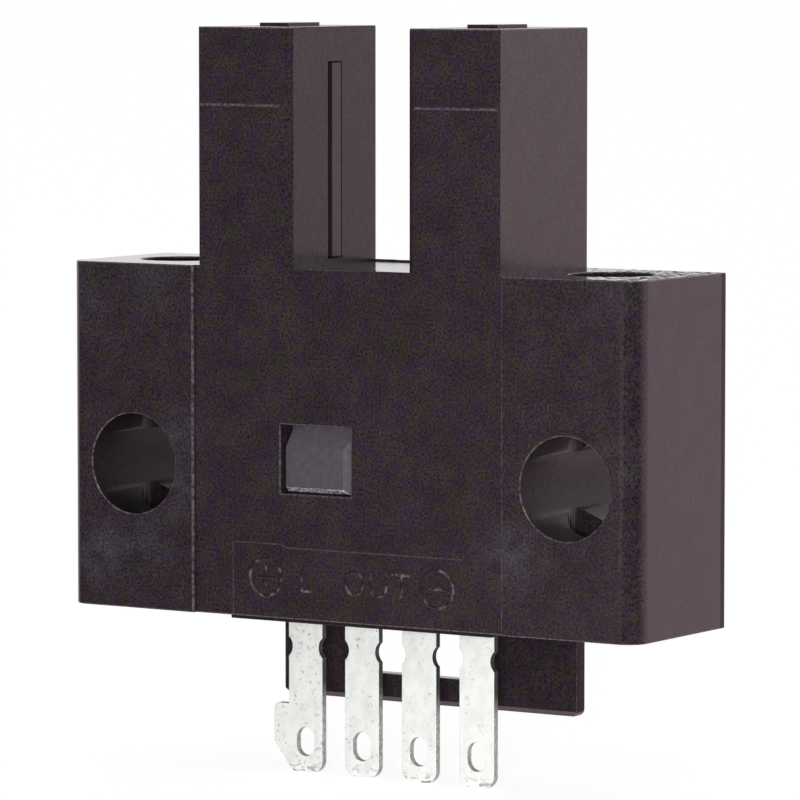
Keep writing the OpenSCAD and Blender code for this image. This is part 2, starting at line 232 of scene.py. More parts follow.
def patch(tree, direction, centre, level, rim, full):
    """A round patch of light: level inside the full angle round its centre, none outside the rim."""
    nearness = vector_node(tree, "DOT_PRODUCT", direction)
    nearness.inputs[1].default_value = centre
    from_rim, to_full = math.cos(math.radians(rim)), math.cos(math.radians(full))
    return stretch(tree, nearness.outputs["Value"], 0.0, level, from_rim, to_full)


def studio_tone(tree, direction):
    """How bright the studio is along a direction: white behind, dim in front but for two patches."""
    unit = vector_node(tree, "NORMALIZE", direction).outputs["Vector"]
    behind = stretch(tree, axis_of(tree, unit, "Y"), DIM_SIDE, WHITE_SIDE, DIM_FROM, WHITE_FROM)
    glow = patch(tree, unit, towards(GLOW_TURN, 0), GLOW_LEVEL, GLOW_RIM, GLOW_FULL)
    strip = patch(tree, unit, towards(STRIP_TURN, 0), STRIP_LEVEL, STRIP_RIM, STRIP_FULL)
    return math_node(tree, "MAXIMUM", behind, math_node(tree, "MAXIMUM", glow, strip))


print("studio tones:", DIM_SIDE, "in front,", WHITE_SIDE, "behind")

# %% World
AMBIENT_LEVEL = 0.38
STUDIO_WHITE = (1.03, 1.0, 1.0, 1)
WINDOW_TURN = math.radians(38)
WINDOW_RISE = math.radians(32)
WINDOW_LEVEL = 18.0
WINDOW_RIM, WINDOW_FULL = 11, 7
WHITE = (1, 1, 1, 1)

world = bpy.context.scene.world or bpy.data.worlds.new("studio")
bpy.context.scene.world = world
world.use_nodes = True
tree = world.node_tree
tree.nodes.clear()
ray = tree.nodes.new("ShaderNodeLightPath").outputs
around = tree.nodes.new("ShaderNodeTexCoord").outputs["Generated"]
mirrored = add_node(tree, "ShaderNodeBackground", Color=STUDIO_WHITE)
window_centre = towards(WINDOW_TURN, WINDOW_RISE)
window = patch(tree, around, window_centre, WINDOW_LEVEL, WINDOW_RIM, WINDOW_FULL)
tone = math_node(tree, "MAXIMUM", studio_tone(tree, around), window)
tree.links.new(tone, mirrored.inputs["Strength"])
ambient = add_node(tree, "ShaderNodeBackground", Color=WHITE, Strength=AMBIENT_LEVEL)
backdrop = add_node(tree, "ShaderNodeBackground", Color=WHITE, Strength=1.0)
by_gloss = mix_shaders(
    tree, ray["Is Glossy Ray"], ambient.outputs["Background"], mirrored.outputs["Background"]
)
seen = math_node(tree, "MAXIMUM", ray["Is Camera Ray"], ray["Is Transmission Ray"])
by_camera = mix_shaders(tree, seen, by_gloss, backdrop.outputs["Background"])
world_output = tree.nodes.new("ShaderNodeOutputWorld")
tree.links.new(by_camera, world_output.inputs["Surface"])
print("world nodes:", len(tree.nodes))

# %% Floor
FLOOR_SIZE = 6.0
FLOOR_TONE = (0.42, 0.42, 0.42, 1)
WARM_WHITE = (0.98, 0.79, 0.85, 1)
GLOW_ON_PART = 0.42
GLOW_SEEN = 0.84
WHITE_REACH = 0.015
WHITE_FADE = 0.035

floor_level = cad_box[0].z
bpy.ops.object.select_all(action="DESELECT")
bpy.ops.mesh.primitive_plane_add(size=FLOOR_SIZE, location=(0, 0, floor_level))
floor = bpy.context.object
floor.name = "studio_floor"
floor_paint = bpy.data.materials.new("pale_floor")
floor_paint.use_nodes = True
tree = floor_paint.node_tree
tree.nodes.clear()
ray = tree.nodes.new("ShaderNodeLightPath").outputs
place = tree.nodes.new("ShaderNodeTexCoord").outputs["Object"]
matt = add_node(tree, "ShaderNodeBsdfDiffuse", Color=FLOOR_TONE)
glow = tree.nodes.new("ShaderNodeEmission")
tree.links.new(stretch(tree, ray["Is Camera Ray"], GLOW_ON_PART, GLOW_SEEN), glow.inputs["Strength"])
lit = tree.nodes.new("ShaderNodeAddShader")
tree.links.new(matt.outputs["BSDF"], lit.inputs[0])
tree.links.new(glow.outputs["Emission"], lit.inputs[1])
distance = vector_node(tree, "LENGTH", place).outputs["Value"]
close_by = stretch(tree, distance, 1.0, 0.0, WHITE_REACH, WHITE_FADE)
mirrored = add_node(tree, "ShaderNodeEmission", Color=WARM_WHITE)
tone = math_node(tree, "MAXIMUM", studio_tone(tree, place), close_by)
tree.links.new(tone, mirrored.inputs["Strength"])
by_gloss = mix_shaders(tree, ray["Is Glossy Ray"], lit.outputs["Shader"], mirrored.outputs["Emission"])
surface = tree.nodes.new("ShaderNodeOutputMaterial")
tree.links.new(by_gloss, surface.inputs["Surface"])
floor.data.materials.append(floor_paint)
print("floor level mm:", round(floor_level / MM, 2))

# %% Lamp
KEY_TURN = math.radians(28)
KEY_RISE = math.radians(4)
KEY_DISTANCE = 0.3
KEY_SIZE = 0.055
KEY_POWER = 0.66

bpy.ops.object.light_add(
    type="AREA",
    location=CAMERA_AIM + towards(KEY_TURN, KEY_RISE) * KEY_DISTANCE,
    rotation=(math.pi / 2 - KEY_RISE, 0, KEY_TURN),
)
key = bpy.context.object
key.name = "key_softbox"
key.data.shape = "DISK"
key.data.size = KEY_SIZE
key.data.energy = KEY_POWER
key.visible_camera = False
key.visible_glossy = False
bpy.context.scene.view_settings.view_transform = "Standard"
print("key lamp", key.data.energy, "W at", KEY_DISTANCE, "m")

# %% [markdown]
# ## Finishes
# Every finish reads the place on the part in millimetres, so that a grain of a tenth of a millimetre is
# written as 0.1. A few clouds of noise at different sizes drive the colour, the roughness and a shallow
# relief. That is how a real surface varies: dye, polish and texture never change together.

# %% Helpers for finishes
def new_finish(name, roughness, metallic=0.0, ior=1.5):
    """A material with its shader and a millimetre coordinate to hang patterns on."""
    material = bpy.data.materials.new(name)
    material.use_nodes = True
    tree = material.node_tree
    shader = tree.nodes["Principled BSDF"]
    shader.inputs["Roughness"].default_value = roughness
    shader.inputs["Metallic"].default_value = metallic
    shader.inputs["IOR"].default_value = ior
    place = tree.nodes.new("ShaderNodeTexCoord")
    scale = add_node(tree, "ShaderNodeMapping", Scale=(1 / MM, 1 / MM, 1 / MM))
    tree.links.new(place.outputs["Object"], scale.inputs["Vector"])
    return material, tree, shader, scale.outputs["Vector"]


def stretched(tree, vector, factors):
    """The same place with each axis scaled, to draw a pattern out along one axis."""
    scale = add_node(tree, "ShaderNodeMapping", Scale=factors)
    tree.links.new(vector, scale.inputs["Vector"])
    return scale.outputs["Vector"]


def cloud(tree, vector, size, detail=3.0):
    """Noise with patches about size millimetres across."""
    noise = add_node(tree, "ShaderNodeTexNoise", Scale=1 / size, Detail=detail)
    tree.links.new(vector, noise.inputs["Vector"])
    return noise.outputs["Fac"]


def tint(tree, pattern, dark, light, start=0.3, end=0.7):
    """A colour that runs from dark to light as the pattern runs from start to end."""
    ramp = tree.nodes.new("ShaderNodeValToRGB")
    ramp.color_ramp.elements[0].position = start
    ramp.color_ramp.elements[0].color = (*dark, 1)
    ramp.color_ramp.elements[1].position = end
    ramp.color_ramp.elements[1].color = (*light, 1)
    tree.links.new(pattern, ramp.inputs["Fac"])
    return ramp.outputs["Color"]


def mixed(tree, factor, first, second, blend="MIX"):
    """Mixes two colours, each a socket or plain numbers."""
    node = tree.nodes.new("ShaderNodeMix")
    node.data_type = "RGBA"
    node.blend_type = blend
    for name, value in (("Factor", factor), ("A", first), ("B", second)):
        fill(tree, node.inputs[name], value)
    return node.outputs["Result"]


def relief(tree, pattern, depth, strength=1.0):
    """Turns a pattern into a shallow relief, depth in millimetres."""
    bump = add_node(tree, "ShaderNodeBump", Strength=strength, Distance=depth * MM)
    tree.links.new(pattern, bump.inputs["Height"])
    return bump.outputs["Normal"]


def plain_finish(name, dark, light, size, roughness, metallic=0.0, depth=0.002):
    """A speckled finish for the small parts inside."""
    material, tree, shader, place = new_finish(name, roughness, metallic)
    pattern = cloud(tree, place, size)
    tree.links.new(tint(tree, pattern, dark, light), shader.inputs["Base Color"])
    tree.links.new(relief(tree, pattern, depth), shader.inputs["Normal"])
    return material


print("finish helpers ready")

# %% [markdown]
# ## Black plastic
# The plastic of the case isn't plainly black. It wavers between violet and olive, it has a grain about
# two pixels wide in the picture, and it flowed unevenly. Round the screw holes, pale patches are painted
# sheen that stands in for soft reflections there. A single noise can't do all of that, so the hue, the
# flow, the grain and the polish are clouds of four sizes, and each patch of painted sheen is a fading
# ball at its place, broken up by a fifth cloud. Edges, signs and tops get finishes of their own that
# start from the same colours: painted highlights on edges and signs, and pits on the tops.

# %% Black moulded plastic
VIOLET_BLACK = (0.0252, 0.0146, 0.0290)
OLIVE_BLACK = (0.0262, 0.0228, 0.0174)
GRAIN_DARK = (0.31, 0.31, 0.31)
GRAIN_LIGHT = (1.69, 1.69, 1.69)
FLOW_DARK = (0.84, 0.84, 0.84)
FLOW_LIGHT = (1.16, 1.16, 1.16)
PAINTED_SHEEN = (0.051, 0.046, 0.057, 1)
# Each patch of painted sheen: its place along X and Z, how far it reaches in millimetres, and how strong
# it is
SHEEN_PATCHES = (
    (-10.9, -3.5, 1.6, 0.9),
    (-8.7, -2.8, 1.6, 0.65),
    (-7.4, 1.3, 1.3, 0.75),
    (-7.4, -0.8, 1.4, 0.6),
    (-11.9, 6.2, 2.0, 0.4),
    (-8.6, 7.1, 2.0, 0.4),
    (7.2, -2.6, 1.9, 0.9),
    (11.5, 1.0, 1.4, 0.5),
    (11.2, 7.0, 1.6, 0.45),
)
HIGHLIGHT_DARK = (0.030, 0.022, 0.028)
EDGE_HIGHLIGHT = (0.120, 0.102, 0.110)
LINE_HIGHLIGHT = (0.066, 0.055, 0.060)
SIGN_DARK = (0.016, 0.012, 0.015)
SIGN_GLINT = (0.170, 0.146, 0.158)
WARM_GLOSS = (1.0, 0.80, 0.86, 1)
BASE_DARK = (0.010, 0.008, 0.009)
BASE_LIGHT = (0.020, 0.016, 0.018)
RIB_DARK = (0.018, 0.011, 0.016)
RIB_LIGHT = (0.028, 0.019, 0.025)


def black_moulding(name, smooth, dull, gloss=0.5, painted_shade=1.0):
    """Warm black plastic: fine grain, cloudy flow and polish, painted sheen by the screw holes, and
    painted shade where asked.
    """
    material, tree, shader, place = new_finish(name, smooth)
    grain = cloud(tree, place, 0.09, detail=4.0)
    dye = cloud(tree, place, 0.36, detail=3.0)
    flow = cloud(tree, place, 1.1, detail=2.0)
    polish = cloud(tree, place, 2.6, detail=3.0)
    wisps = cloud(tree, place, 0.7, detail=4.0)
    hue = tint(tree, dye, VIOLET_BLACK, OLIVE_BLACK, 0.35, 0.65)
    hue = mixed(tree, 1.0, hue, tint(tree, flow, FLOW_DARK, FLOW_LIGHT), "MULTIPLY")
    # Painted sheen: a pale patch round each screw hole, standing in for soft reflections there
    for x, z, reach, strength in SHEEN_PATCHES:
        from_place = vector_node(tree, "DISTANCE", place)
        from_place.inputs[1].default_value = (x, ear_front, z)
        nearness = stretch(tree, from_place.outputs["Value"], strength, 0.0, 0.0, reach)
        sheen = math_node(tree, "MULTIPLY", nearness, stretch(tree, wisps, 0.0, 1.0, 0.3, 0.6))
        hue = mixed(tree, sheen, hue, PAINTED_SHEEN)
    # painted_shade below 1 darkens the whole colour: painted shade for bores, the opening, the skirt and
    # a strip of each ear
    dark, light = ([tone * painted_shade for tone in end] for end in (GRAIN_DARK, GRAIN_LIGHT))
    colour = mixed(tree, 1.0, hue, tint(tree, grain, dark, light), "MULTIPLY")
    tree.links.new(colour, shader.inputs["Base Color"])
    tree.links.new(stretch(tree, polish, smooth, dull, 0.3, 0.7), shader.inputs["Roughness"])
    tree.links.new(relief(tree, grain, 0.0035), shader.inputs["Normal"])
    shader.inputs["Specular IOR Level"].default_value = gloss
    shader.inputs["Specular Tint"].default_value = WARM_GLOSS
    return material


def highlight_plastic(name, light):
    """Edges and ridges are painted pale in broken rows of dots: a painted highlight."""
    material, tree, shader, place = new_finish(name, 0.25)
    dots = cloud(tree, place, 0.14, detail=2.0)
    colour = tint(tree, dots, HIGHLIGHT_DARK, light, 0.36, 0.66)
    tree.links.new(colour, shader.inputs["Base Color"])
    tree.links.new(relief(tree, dots, 0.003), shader.inputs["Normal"])
    shader.inputs["Specular Tint"].default_value = WARM_GLOSS
    return material


def glint_sign():
    """Raised signs: dark, with pale patches that are painted glints, and smooth enough to glint."""
    material, tree, shader, place = new_finish("glint_sign", 0.14)
    patches = cloud(tree, place, 0.32)
    tree.links.new(tint(tree, patches, SIGN_DARK, SIGN_GLINT, 0.48, 0.74), shader.inputs["Base Color"])
    tree.links.new(relief(tree, patches, 0.002), shader.inputs["Normal"])
    shader.inputs["Specular Tint"].default_value = WARM_GLOSS
    return material


def pitted_top():
    """The flat tops mirror the background, and are more and more pitted towards the right."""
    material, tree, shader, place = new_finish("pitted_top", 0.1)
    pits = cloud(tree, place, 0.24, detail=2.0)
    reach = stretch(tree, axis_of(tree, place, "X"), 0.02, 1.0, -ear_end, ear_end)
    depth = math_node(tree, "MULTIPLY", pits, reach)
    tree.links.new(tint(tree, pits, VIOLET_BLACK, OLIVE_BLACK), shader.inputs["Base Color"])
    tree.links.new(stretch(tree, depth, 0.12, 0.9, 0.44, 0.56), shader.inputs["Roughness"])
    tree.links.new(relief(tree, depth, 0.012), shader.inputs["Normal"])
    shader.inputs["Specular Tint"].default_value = WARM_GLOSS
    return material


def base_moulding():
    """The base is moulded from the same plastic in a coarser, duller tool."""
    material, tree, shader, place = new_finish("base_moulding", 0.5)
    shader.inputs["Specular IOR Level"].default_value = 0.2
    grain = cloud(tree, place, 0.14)
    tree.links.new(tint(tree, grain, BASE_DARK, BASE_LIGHT), shader.inputs["Base Color"])
    tree.links.new(relief(tree, grain, 0.006), shader.inputs["Normal"])
    return material


def window_plastic():
    """Light-passing plastic looks black with a red-violet depth, and it is polished."""
    material, tree, shader, place = new_finish("window_plastic", 0.2)
    flow = cloud(tree, stretched(tree, place, (1, 1, 0.2)), 0.5)
    tree.links.new(tint(tree, flow, RIB_DARK, RIB_LIGHT), shader.inputs["Base Color"])
    tree.links.new(stretch(tree, flow, 0.17, 0.27), shader.inputs["Roughness"])
    tree.links.new(relief(tree, flow, 0.001), shader.inputs["Normal"])
    shader.inputs["Specular Tint"].default_value = WARM_GLOSS
    return material


print("black plastics ready")

# %% [markdown]
# ## Smoked plastic
# The indicator's light guide is a grey prism. Real glass-clear plastic would show the chip behind it, but
# in the picture it looks solid and a little cloudy, so a hazy grey is nearer to it than transmission. Its
# slanted side is painted paler as painted light, and its grainy foot is painted pale as a painted
# highlight.

# %% Smoked plastic
SMOKE_DARK = (0.066, 0.055, 0.070)
SMOKE_LIGHT = (0.090, 0.077, 0.095)
LIT_BEVEL_DARK = (0.090, 0.078, 0.096)
LIT_BEVEL_LIGHT = (0.118, 0.104, 0.124)
FOOT_HIGHLIGHT_DARK = (0.14, 0.13, 0.14)
FOOT_HIGHLIGHT_LIGHT = (0.62, 0.59, 0.63)


def smoked_plastic(name, dark, light):
    """The light guide is a grey, slightly cloudy prism."""
    material, tree, shader, place = new_finish(name, 0.35)
    haze = cloud(tree, place, 0.25, detail=4.0)
    tree.links.new(tint(tree, haze, dark, light), shader.inputs["Base Color"])
    tree.links.new(stretch(tree, haze, 0.3, 0.42), shader.inputs["Roughness"])
    tree.links.new(relief(tree, haze, 0.002), shader.inputs["Normal"])
    return material


def foot_highlight():
    """The foot of the prism is left unpolished, and its grains are painted pale: a painted highlight."""
    material, tree, shader, place = new_finish("foot_highlight", 0.5)
    beads = cloud(tree, place, 0.1, detail=1.0)
    tree.links.new(tint(tree, beads, FOOT_HIGHLIGHT_DARK, FOOT_HIGHLIGHT_LIGHT, 0.4, 0.65), shader.inputs["Base Color"])
    tree.links.new(relief(tree, beads, 0.01), shader.inputs["Normal"])
    return material


print("smoked plastics ready")

# %% [markdown]
# ## Tin
# Tin plating is dull and nearly white, so it is closer to a pale paint than to a mirror, and only a
# little metallic. Flecks and blotches of two sizes wear it, most on the left terminal, which is handled
# most, and painted shade darkens the row a little towards the left. The cuts of the punch show the bare
# metal, darkened near the base by a painted reflection of the dark base.

# %% Dull tin
TIN_GREY = (0.82, 0.86, 0.82)
TIN_WHITE = (0.94, 0.97, 0.93)
FLECK_GREY = (0.44, 0.47, 0.45, 1)
MARK_GREY = (0.20, 0.21, 0.20, 1)
CUT_DARK = (0.24, 0.26, 0.23)
CUT_LIGHT = (0.62, 0.65, 0.60)
MARK_HEIGHT = 0.45
REFLECTION_FROM = 2.5
REFLECTION_FULL = 3.5
ROW_HALF = 4.6


def dull_tin():
    """Tin plating is whitish and blotched, with grey flecks and the marks of the shear at the tip."""
    material, tree, shader, place = new_finish("dull_tin", 0.45, metallic=0.15)
    blotches = cloud(tree, stretched(tree, place, (1, 1, 0.6)), 0.4, detail=4.0)
    flecks = cloud(tree, place, 0.12, detail=3.0)
    worn = cloud(tree, place, 0.8, detail=2.0)
    marks = cloud(tree, stretched(tree, place, (0.6, 1, 1.4)), 0.22, detail=1.0)
    plating = tint(tree, blotches, TIN_GREY, TIN_WHITE, 0.3, 0.6)
    pits = stretch(tree, flecks, 0.7, 0.0, 0.30, 0.42)
    pitted = math_node(tree, "MULTIPLY", pits, stretch(tree, worn, 0.1, 1.0, 0.4, 0.65))
    along = axis_of(tree, place, "X")
    pitted = math_node(tree, "MULTIPLY", pitted, stretch(tree, along, 2.6, 0.6, -ROW_HALF, ROW_HALF))
    # Painted shade: the row of terminals is darker towards the left
    shaded_row_tone = stretch(tree, along, 0.91, 1.03, -ROW_HALF, ROW_HALF)
    shaded_plating = mixed(tree, 1.0, plating, shaded_row_tone, "MULTIPLY")
    flecked = mixed(tree, pitted, shaded_plating, FLECK_GREY)
    near_tip = stretch(tree, axis_of(tree, place, "Z"), 1.0, 0.0, tip_level, tip_level + MARK_HEIGHT)
    sheared = math_node(tree, "MULTIPLY", near_tip, stretch(tree, marks, 0.0, 1.0, 0.54, 0.60))
    tree.links.new(mixed(tree, sheared, flecked, MARK_GREY), shader.inputs["Base Color"])
    tree.links.new(stretch(tree, blotches, 0.38, 0.52, 0.3, 0.7), shader.inputs["Roughness"])
    tree.links.new(relief(tree, flecks, 0.004), shader.inputs["Normal"])
    return material


def sheared_edge():
    """Where the punch cut through the plating, the bare metal is ragged, and darkened near the base by a
    painted reflection of the dark base.
    """
    material, tree, shader, place = new_finish("sheared_edge", 0.5, metallic=0.1)
    shader.inputs["Specular IOR Level"].default_value = 0.25
    ragged = cloud(tree, place, 0.12, detail=3.0)
    height = axis_of(tree, place, "Z")
    # Painted reflection of the dark base: the cut is darker higher up
    dark_reflection = stretch(tree, height, 1.0, 0.14, tip_level + REFLECTION_FROM, tip_level + REFLECTION_FULL)
    colour = mixed(tree, 1.0, tint(tree, ragged, CUT_DARK, CUT_LIGHT), dark_reflection, "MULTIPLY")
    tree.links.new(colour, shader.inputs["Base Color"])
    tree.links.new(relief(tree, ragged, 0.01), shader.inputs["Normal"])
    return material


print("tin ready")

# %% [markdown]
# ## Working copies of the solids
# A moulded or punched piece never has a knife edge, but the solid model keeps its edges sharp, because
# sizes are measured there. So each visible solid is copied, its loose triangles are merged and the flat
# ones joined into whole faces, and then the edges that show are rounded by a few hundredths of a
# millimetre. A flat face with a hole can't be one face in Blender, and where it is split by chance, a
# thin wedge is left that a bevel turns inside out. So such faces are cut at a seam through the hole
# instead. The copy is worked on at a thousand times its size, in millimetres, and shrunk afterwards.

# %% Helpers for the bench
SHARP = math.radians(50)
FLAT = math.radians(0.5)
SMOOTH_BELOW = math.radians(40)
MERGE = 0.001
SLIVER = 0.0005


def pick(piece):
    """Selects one piece and nothing else."""
    bpy.ops.object.select_all(action="DESELECT")
    piece.select_set(True)
    bpy.context.view_layer.objects.active = piece


def rescale(piece, factor):
    """Scales a piece about the origin and writes the scale into its mesh."""
    pick(piece)
    piece.scale = (factor, factor, factor)
    bpy.ops.object.transform_apply(location=False, rotation=False, scale=True)


def select_edges(piece, wanted):
    """In edit mode, selects the edges that pass a test and returns how many there are."""
    bpy.ops.mesh.select_mode(type="EDGE")
    bpy.ops.mesh.select_all(action="DESELECT")
    mesh = bmesh.from_edit_mesh(piece.data)
    chosen = [edge for edge in mesh.edges if edge.is_manifold and wanted(edge)]
    for edge in chosen:
        edge.select_set(True)
    bmesh.update_edit_mesh(piece.data)
    return len(chosen)


def bench_copy(node_name, piece_name, seams=()):
    """A merged copy of a solid, a thousand times its size, its flat faces split only at the seams."""
    def splits_by_chance(edge):
        on_seam = any(
            all(abs(getattr(v.co, axis) - place) < MERGE for v in edge.verts) for axis, place in seams
        )
        return edge.calc_face_angle() < FLAT and not on_seam

    pick(nodes[node_name])
    bpy.ops.object.duplicate()
    piece = bpy.context.object
    piece.name = piece_name
    piece.data.name = piece_name
    bpy.ops.object.parent_clear(type="CLEAR")
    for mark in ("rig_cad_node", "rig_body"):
        del piece[mark]
    piece.data.materials.clear()
    rescale(piece, 1 / MM)
    bpy.ops.object.mode_set(mode="EDIT")
    bpy.ops.mesh.select_all(action="SELECT")
    bpy.ops.mesh.customdata_custom_splitnormals_clear()
    bpy.ops.mesh.remove_doubles(threshold=MERGE)
    bpy.ops.mesh.dissolve_limited(angle_limit=FLAT)
    for axis, place in seams:
        across = Vector([float(axis == name) for name in "xyz"])
        bpy.ops.mesh.select_all(action="SELECT")
        bpy.ops.mesh.bisect(plane_co=across * place, plane_no=across)
    select_edges(piece, splits_by_chance)
    bpy.ops.mesh.dissolve_edges(use_verts=False)
    bpy.ops.object.mode_set(mode="OBJECT")
    return piece


def round_edges(piece, wanted, width, segments=3, edge_slot=-1):
    """Rounds the sharp outer edges whose middle passes the test, in the finish of the given slot."""
    def to_round(edge):
        middle = (edge.verts[0].co + edge.verts[1].co) / 2
        return edge.is_convex and edge.calc_face_angle() > SHARP and wanted(middle)

    pick(piece)
    bpy.ops.object.mode_set(mode="EDIT")
    count = select_edges(piece, to_round)
    bpy.ops.mesh.bevel(
        offset=width, segments=segments, profile=0.5, affect="EDGES",
        clamp_overlap=False, material=edge_slot,
    )
    bpy.ops.mesh.select_all(action="SELECT")
    bpy.ops.mesh.dissolve_degenerate(threshold=SLIVER)
    bpy.ops.mesh.delete_loose()
    bpy.ops.object.mode_set(mode="OBJECT")
    return count


def paint_faces(piece, material, wanted):
    """Gives a further material to the faces whose middle and normal pass the test."""
    slots = piece.data.materials
    if material.name not in slots:
        slots.append(material)
    index = slots.find(material.name)
    painted = [face for face in piece.data.polygons if wanted(face.center, face.normal)]
    for face in painted:
        face.material_index = index
    return len(painted)


def hand_over(piece, slot, *node_names):
    """Shades a finished piece, shrinks it to its size and puts it in the frame for its solids."""
    pick(piece)
    bpy.ops.object.shade_smooth_by_angle(angle=SMOOTH_BELOW)
    bpy.ops.object.modifier_add(type="WEIGHTED_NORMAL")
    piece.modifiers[-1].keep_sharp = True
    bpy.ops.object.modifier_apply(modifier=piece.modifiers[-1].name)
    rescale(piece, MM)
    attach(piece, "root")
    if node_names:
        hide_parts(*node_names)


print("bench ready")

# %% [markdown]
# ## The moulded case
# The case is one moulding: two hollow pillars, two ears with crossing screw holes, and a skirt behind the
# terminals. A mould is polished by hand, so every outer edge has a tiny radius. These rounded edges are
# painted pale in broken rows of dots, which is a painted highlight. Rounding all edges at once would also
# reach the hollow inside and the place where two bores cross, so a test leaves those alone. The core pins
# that form the bores and the opening are left as turned, so their walls get a duller finish of the same
# plastic, and that finish is darkened as painted shade, most in the left bores. The skirt gets painted
# shade too, and the narrow strip along the rear edge of each ear's end is darkened as a painted
# reflection of a shadow. The walls of the slot shine less than the outside, and the flat tops are pitted.
# The axis marks and the lips of the ears are round in the solid already, and only get the painted
# highlight. One finish per face is enough for all this, so each finish has a test that says where it
# goes.

# %% Tests for edges
EDGE_WIDTH = 0.05
INSIDE_MARGIN = 0.02
CAVITY_HALF = 5.8
FRONT_WALL = 0.85
REAR_WALL = 0.9
STEP_X = 6.68
STEP_REACH = 0.2

axis_height = (box_mm("emitter_led")[0].z + box_mm("emitter_led")[1].z) / 2


def between(value, low, high):
    """Whether a value lies in a range."""
    return low <= value <= high


def in_cavity(point):
    """Inside the hollow that holds the board, the emitter and the detector."""
    across = abs(point.x) < CAVITY_HALF + INSIDE_MARGIN
    front, rear = body_front + FRONT_WALL - INSIDE_MARGIN, -REAR_WALL + INSIDE_MARGIN
    return across and between(point.y, front, rear)


def in_bore(point):
    """Inside an ear, where the two screw holes cross."""
    across = between(abs(point.x), STEP_X + STEP_REACH, ear_end - STEP_REACH)
    deep = between(point.y, ear_front + STEP_REACH, -STEP_REACH)
    return across and deep and between(point.z, underside + STEP_REACH, ear_top - STEP_REACH)


def on_rear_rim(point):
    """On the rim of a screw hole in the mounting face, which stays sharp."""
    reach = math.hypot(abs(point.x) - screw_x, point.z)
    return point.y > -INSIDE_MARGIN and reach < face_hole_r + INSIDE_MARGIN


def on_small_detail(point):
    """At the axis marks, or where an ear's step meets the foot of a pillar."""
    on_mark = point.y < body_front + INSIDE_MARGIN and abs(point.z - axis_height) < STEP_REACH
    at_foot = abs(abs(point.x) - STEP_X) < STEP_REACH and point.y < body_front + STEP_REACH
    return on_mark or at_foot


def outer_edge(middle):
    """On the outside of the case, where the edges are rounded."""
    return not any(test(middle) for test in (in_cavity, in_bore, on_rear_rim, on_small_detail))


print("optical axis mm:", round(axis_height, 2))

# %% Tests for finishes
LIP_REACH = 0.1
SLOT_HALF = 2.55
# How far from the rear the strip of painted shadow reaches, in millimetres
SHADOW_STRIP_DEPTH = 0.34
FACING = 0.9
LEVEL = 0.99
ACROSS = 0.2


def on_cored_wall(middle, normal):
    """On the wall of one of the four screw holes or of the indicator's opening."""
    from_axis = abs(middle.x) - screw_x
    around_face_hole = abs(math.hypot(from_axis, middle.z) - face_hole_r)
    in_face_hole = around_face_hole < INSIDE_MARGIN and abs(normal.y) < ACROSS
    around_edge_hole = abs(math.hypot(from_axis, middle.y - mid_depth) - edge_hole_r)
    in_edge_hole = around_edge_hole < INSIDE_MARGIN and abs(normal.z) < ACROSS
    through_wall = between(middle.y, body_front + EDGE_WIDTH, body_front + FRONT_WALL - INSIDE_MARGIN)
    in_opening = through_wall and abs(middle.x) < CAVITY_HALF and abs(normal.y) < ACROSS
    return in_face_hole or in_edge_hole or in_opening


def on_left_bore(middle, normal):
    """In the screw holes of the left ear, which get the darkest painted shade."""
    return middle.x < -STEP_X and on_cored_wall(middle, normal)


def on_skirt_front(middle, normal):
    """On the front of the skirt, behind the terminals."""
    return middle.z < underside - EDGE_WIDTH and normal.y < -FACING


def on_skirt_side(middle, normal):
    """On the two ends of the skirt, and on the sides of its window."""
    return middle.z < underside - EDGE_WIDTH and abs(normal.x) > FACING


def on_painted_shadow_strip(middle, normal):
    """On the narrow strip along the rear edge of an ear's end, darkened as a painted reflection of a
    shadow.
    """
    return abs(middle.x) > ear_end - 2 * EDGE_WIDTH and middle.y > -SHADOW_STRIP_DEPTH


def on_slot_wall(middle, normal):
    """On one of the two walls of the sensing slot."""
    at_wall = abs(abs(middle.x) - SLOT_HALF) < INSIDE_MARGIN
    return at_wall and middle.z > ear_top and abs(normal.x) > FACING


def on_flat_top(middle, normal):
    """On the top of an ear, or on the floor of the sensing slot."""
    return abs(middle.z - ear_top) < INSIDE_MARGIN and normal.z > LEVEL


def on_highlight_detail(middle, normal):
    """On an axis mark, or on the rounded lip of an ear beside the body."""
    on_mark = middle.y < body_front + SLIVER and abs(middle.z - axis_height) < 3 * INSIDE_MARGIN
    by_step = between(abs(middle.x), STEP_X - STEP_REACH, STEP_X + STEP_REACH)
    on_lip = by_step and middle.y < ear_front + LIP_REACH and between(abs(normal.x), 0.1, 0.995)
    return on_mark or on_lip


print("painted_shadow strip mm:", SHADOW_STRIP_DEPTH)

# %% Rounded case
black = black_moulding("black_moulding", 0.17, 0.25)
# Pale dotted edges: a painted highlight
edge_highlight = highlight_plastic("highlight_edge", EDGE_HIGHLIGHT)
